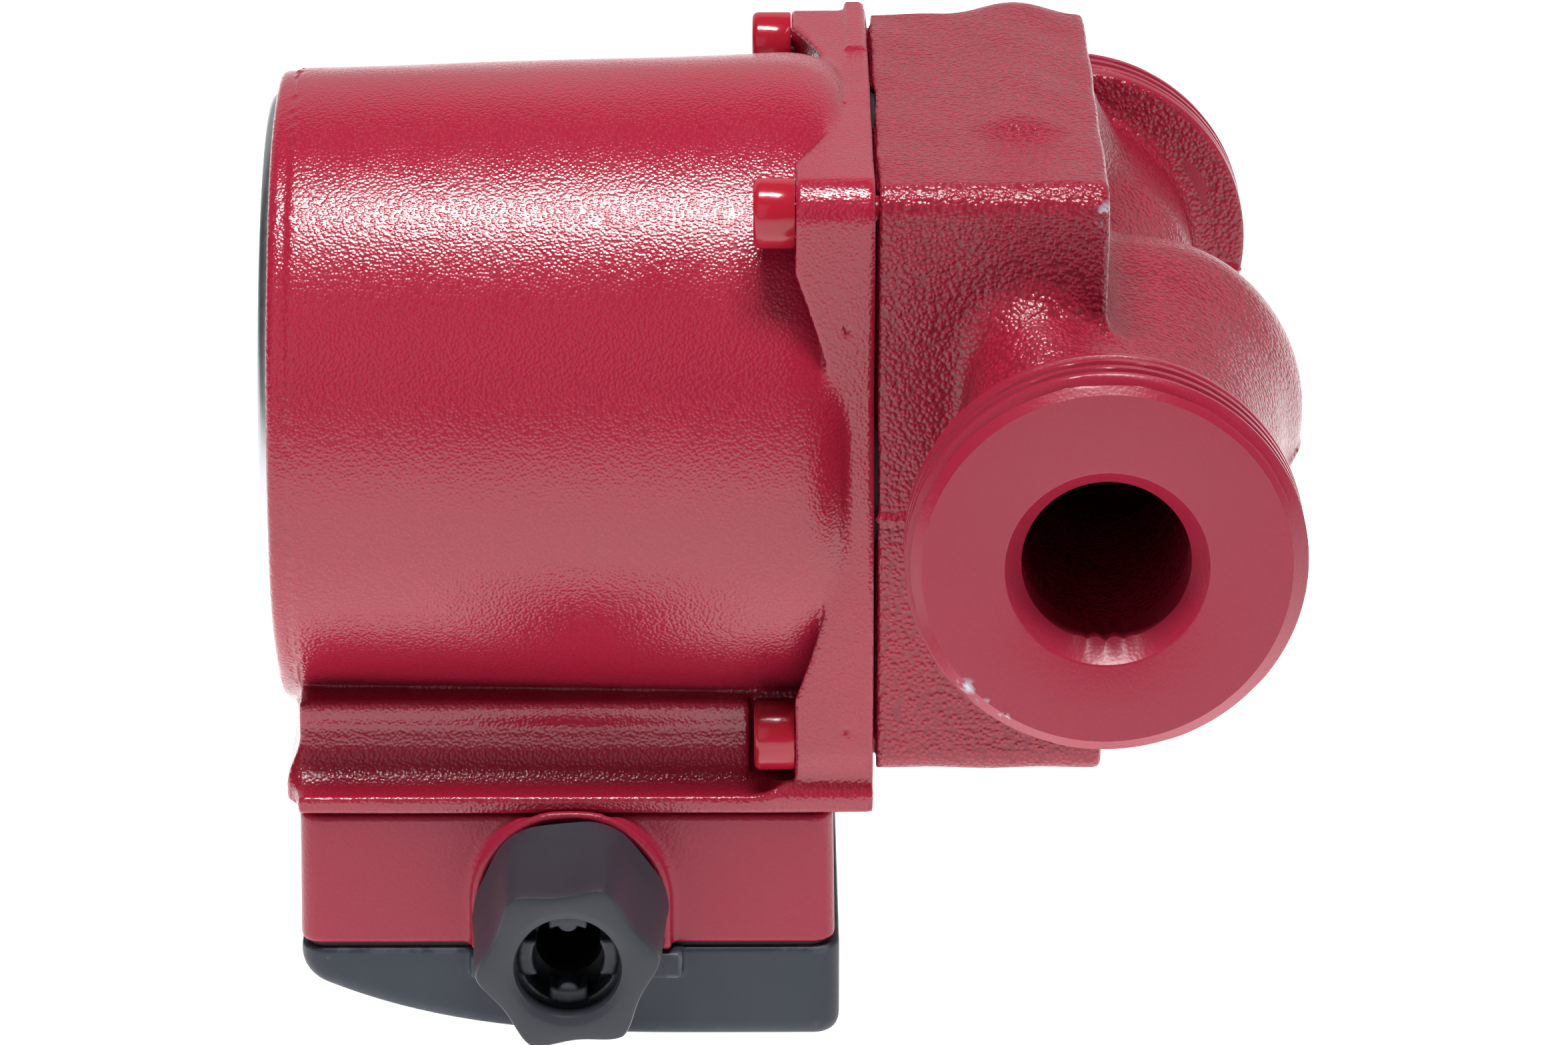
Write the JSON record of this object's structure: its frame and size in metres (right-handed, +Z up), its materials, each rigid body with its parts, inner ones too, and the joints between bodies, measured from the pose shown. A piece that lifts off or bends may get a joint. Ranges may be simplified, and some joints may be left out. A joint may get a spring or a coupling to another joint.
{
  "type": "circulator pump",
  "caption": "Wet-rotor heating circulator with a square cast volute between two in-line male threaded ports, a canned motor and an underslung terminal box with a cable gland.",
  "frame": {"origin": "centre of the inlet port's gasket face", "axes": "+Z up with the terminal box underneath, +Y along the pipe from inlet to outlet, +X along the shaft from the motor towards the volute"},
  "size_m": [0.1289, 0.13, 0.1196],
  "materials": {
    "cast_red": "gloss paint over coarse sand casting",
    "motor_red": "fine orange-peel powder coat",
    "screw_red": "gloss paint",
    "box_red": "fine powder coat",
    "steel": "brushed",
    "bright_steel": "bright rolled",
    "lamination": "stacked laminations",
    "copper": "enamelled copper wire",
    "brass": "plain",
    "chrome": "polished",
    "ceramic": "ground",
    "carbon": "ground carbon",
    "composite": "moulded composite",
    "rubber": "smooth",
    "black_plastic": "fine spark-eroded grain",
    "gland_plastic": "fine grain",
    "dark_plastic": "smooth",
    "white_plastic": "smooth"
  },
  "bodies": {
    "pump": {"pump_housing": "cast_red", "neck_ring": "steel", "housing_gasket": "rubber", "front_bearing": "ceramic", "rear_bearing": "ceramic", "bearing_plate": "steel", "rotor_can": "steel", "can_seal": "rubber", "motor_housing": "motor_red", "stator_core": "lamination", "stator_winding": "copper", "end_plate": "bright_steel", "vent_seal": "rubber", "flange_screws": "screw_red", "terminal_box": "box_red", "box_gasket": "rubber", "box_screws": "steel", "cover_seal": "rubber", "terminal_block": "white_plastic", "terminal_screws": "brass", "earth_screw": "brass", "capacitor": "dark_plastic", "speed_switch": "white_plastic", "gland_body": "gland_plastic", "gland_clamp": "gland_plastic", "gland_seal": "rubber"},
    "rotor": {"shaft": "steel", "rotor_core": "steel", "thrust_bearing": "carbon", "impeller": "composite", "impeller_shroud": "composite"},
    "cover": {"terminal_cover": "black_plastic"},
    "cover_fixing": {"cover_screw": "steel"},
    "selector": {"speed_knob": "black_plastic"},
    "vent": {"vent_screw": "chrome"},
    "gland_lock": {"gland_nut": "gland_plastic"}
  },
  "joints": [
    {"name": "rotor_spin", "type": "hinge", "parent": "pump", "child": "rotor", "pos_m": [-0.06, 0.065, 0], "axis": [1, 0, 0], "continuous": true},
    {"name": "vent_screw_turn", "type": "hinge", "parent": "pump", "child": "vent", "pos_m": [-0.1, 0.065, 0], "axis": [-1, 0, 0], "range_deg": [0, 720]},
    {"name": "cover_lift_off", "type": "slide", "parent": "pump", "child": "cover", "axis": [0, 0, -1], "range_m": [0, 0.04]},
    {"name": "cover_screw_turn", "type": "hinge", "parent": "cover", "child": "cover_fixing", "pos_m": [-0.088, 0.087, -0.07], "axis": [0, 0, -1], "range_deg": [0, 720]},
    {"name": "speed_selector", "type": "hinge", "parent": "cover", "child": "selector", "pos_m": [-0.046, 0.077, -0.07], "axis": [0, 0, -1], "range_deg": [-60, 60]},
    {"name": "gland_nut_turn", "type": "hinge", "parent": "pump", "child": "gland_lock", "pos_m": [-0.0644, 0.015, -0.0543], "axis": [0, -1, 0], "range_deg": [0, 1080]}
  ]
}
